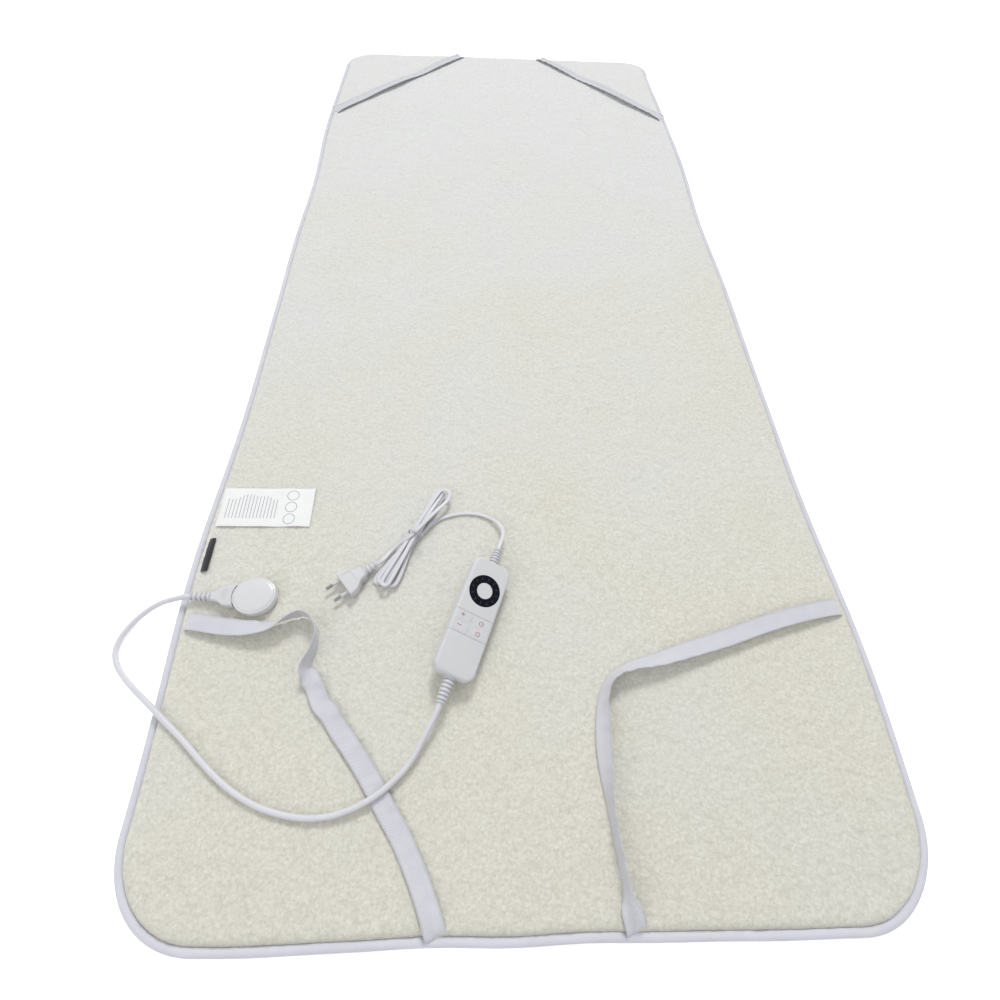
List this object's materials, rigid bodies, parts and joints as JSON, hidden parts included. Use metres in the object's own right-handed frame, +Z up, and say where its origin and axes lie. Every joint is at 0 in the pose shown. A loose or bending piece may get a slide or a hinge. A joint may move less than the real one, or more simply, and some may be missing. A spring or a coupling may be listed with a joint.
{
  "type": "heated underblanket",
  "caption": "Electric heated fleece underblanket for a single bed, with elastic corner straps, a plug-in connector, a hand controller and a mains cord.",
  "frame": {"origin": "centre of the mat's underside, on the surface that it lies on", "axes": "+Y along the mat's length towards the head end, +Z up out of the fleece, +X to the right seen from the foot end"},
  "size_m": [0.8659, 1.9, 0.0498],
  "materials": {
    "fleece": "deep soft pile",
    "underside_fabric": "brushed woven cloth",
    "felt": "needled felt",
    "heating_wire": "smooth insulation",
    "binding": "knitted binding tape",
    "elastic": "twill-woven elastic band",
    "label": "printed satin label",
    "tab": "black woven tape",
    "casing": "fine satin moulding",
    "key": "satin moulding with printed symbol",
    "display": "gloss black lens",
    "circuit_board": "solder resist",
    "component": "moulded component",
    "cord_sheath": "soft vinyl sheath",
    "moulded_relief": "soft vinyl moulding",
    "plated_contact": "nickel plate",
    "screw_steel": "zinc plate",
    "tie": "coated wire tie"
  },
  "bodies": {
    "root": {"binding_tape": "binding", "bottom_fabric": "underside_fabric", "carrier_felt": "felt", "heating_wire": "heating_wire", "top_fleece": "fleece", "strap_head_left": "elastic", "strap_head_right": "elastic", "strap_foot_left": "elastic", "strap_foot_right": "elastic", "care_label": "label", "side_tab": "tab", "socket_lower_shell": "casing", "socket_upper_shell": "casing", "socket_pin_block": "component", "socket_pin_1": "plated_contact", "socket_pin_2": "plated_contact", "socket_pin_3": "plated_contact", "socket_board": "circuit_board", "thermal_cutout": "component", "controller_lower_shell": "casing", "controller_upper_shell": "casing", "display_ring": "display", "controller_board": "circuit_board", "display_module": "component", "relay": "component", "capacitor": "component", "plus_switch": "component", "minus_switch": "component", "timer_switch": "component", "power_switch": "component", "controller_screw_1": "screw_steel", "controller_screw_2": "screw_steel", "controller_screw_3": "screw_steel", "controller_screw_4": "screw_steel", "lead_strain_relief": "moulded_relief", "mains_strain_relief": "moulded_relief", "lead_cord": "cord_sheath", "mains_cord": "cord_sheath", "mains_hank": "cord_sheath", "hank_tie": "tie", "mains_cord_tail": "cord_sheath", "plug_body": "casing", "plug_pin_left": "plated_contact", "plug_pin_right": "plated_contact", "plug_strain_relief": "moulded_relief"},
    "connector": {"connector_body": "casing", "connector_contact_1": "plated_contact", "connector_contact_2": "plated_contact", "connector_contact_3": "plated_contact", "connector_strain_relief": "moulded_relief"},
    "plus_key": {"plus_key": "key"},
    "minus_key": {"minus_key": "key"},
    "timer_key": {"timer_key": "key"},
    "power_key": {"power_key": "key"}
  },
  "joints": [
    {"name": "connector_pull", "type": "slide", "parent": "root", "child": "connector", "axis": [-1, 0, 0], "range_m": [0, 0.025], "deforming": ["lead_cord"]},
    {"name": "plus_key_press", "type": "slide", "parent": "root", "child": "plus_key", "axis": [-0.3529, 0.1257, -0.9272], "range_m": [0, 0.0005], "stiffness_N_per_m": 300, "springref_m": -0.001},
    {"name": "minus_key_press", "type": "slide", "parent": "root", "child": "minus_key", "axis": [-0.3529, 0.1257, -0.9272], "range_m": [0, 0.0005], "stiffness_N_per_m": 300, "springref_m": -0.001},
    {"name": "timer_key_press", "type": "slide", "parent": "root", "child": "timer_key", "axis": [-0.3529, 0.1257, -0.9272], "range_m": [0, 0.0005], "stiffness_N_per_m": 300, "springref_m": -0.001},
    {"name": "power_key_press", "type": "slide", "parent": "root", "child": "power_key", "axis": [-0.3529, 0.1257, -0.9272], "range_m": [0, 0.0005], "stiffness_N_per_m": 300, "springref_m": -0.001}
  ]
}
